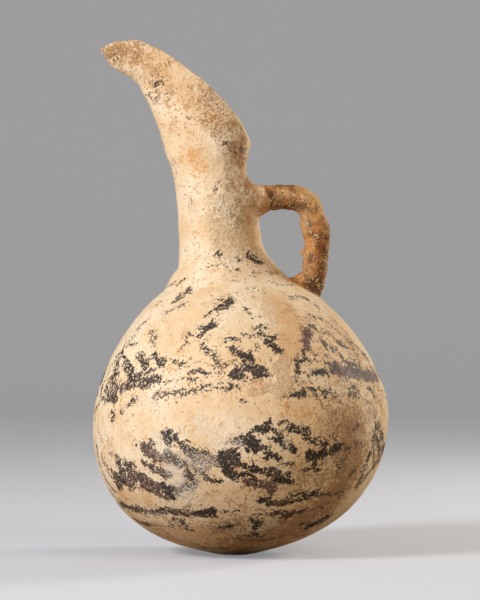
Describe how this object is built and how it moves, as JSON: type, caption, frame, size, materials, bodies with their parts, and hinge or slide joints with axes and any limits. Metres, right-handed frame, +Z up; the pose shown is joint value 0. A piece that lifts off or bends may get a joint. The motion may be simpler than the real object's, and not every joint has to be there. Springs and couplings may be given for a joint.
{
  "type": "beak spouted jug",
  "caption": "Round-bodied pottery jug with a tall neck, an obliquely cut beak spout, a round loop handle and painted bands, triangles and butterfly figures.",
  "frame": {"origin": "centre of the small flat spot under the body, which the jug stands on", "axes": "+Z up along the body and neck, +X towards the handle, -X towards the beak; the XZ plane is the plane of symmetry"},
  "size_m": [0.1469, 0.1468, 0.2564],
  "materials": {
    "cream_slipped_clay": "fired clay with a matt cream slip, lightly burnished, with worn dark-brown painted bands, hatched triangles and butterfly figures, and patches of lime crust",
    "bare_orange_clay": "fired clay with its slip worn away, rough and orange-brown, with grey crust"
  },
  "bodies": {
    "root": {"base_pad": "cream_slipped_clay", "lower_bowl": "cream_slipped_clay", "belly_course": "cream_slipped_clay", "shoulder_course": "cream_slipped_clay", "neck": "cream_slipped_clay", "neck_collar": "cream_slipped_clay", "beak_spout": "cream_slipped_clay", "handle": "bare_orange_clay", "handle_root_fillet": "cream_slipped_clay", "handle_foot_fillet": "bare_orange_clay"}
  },
  "joints": []
}
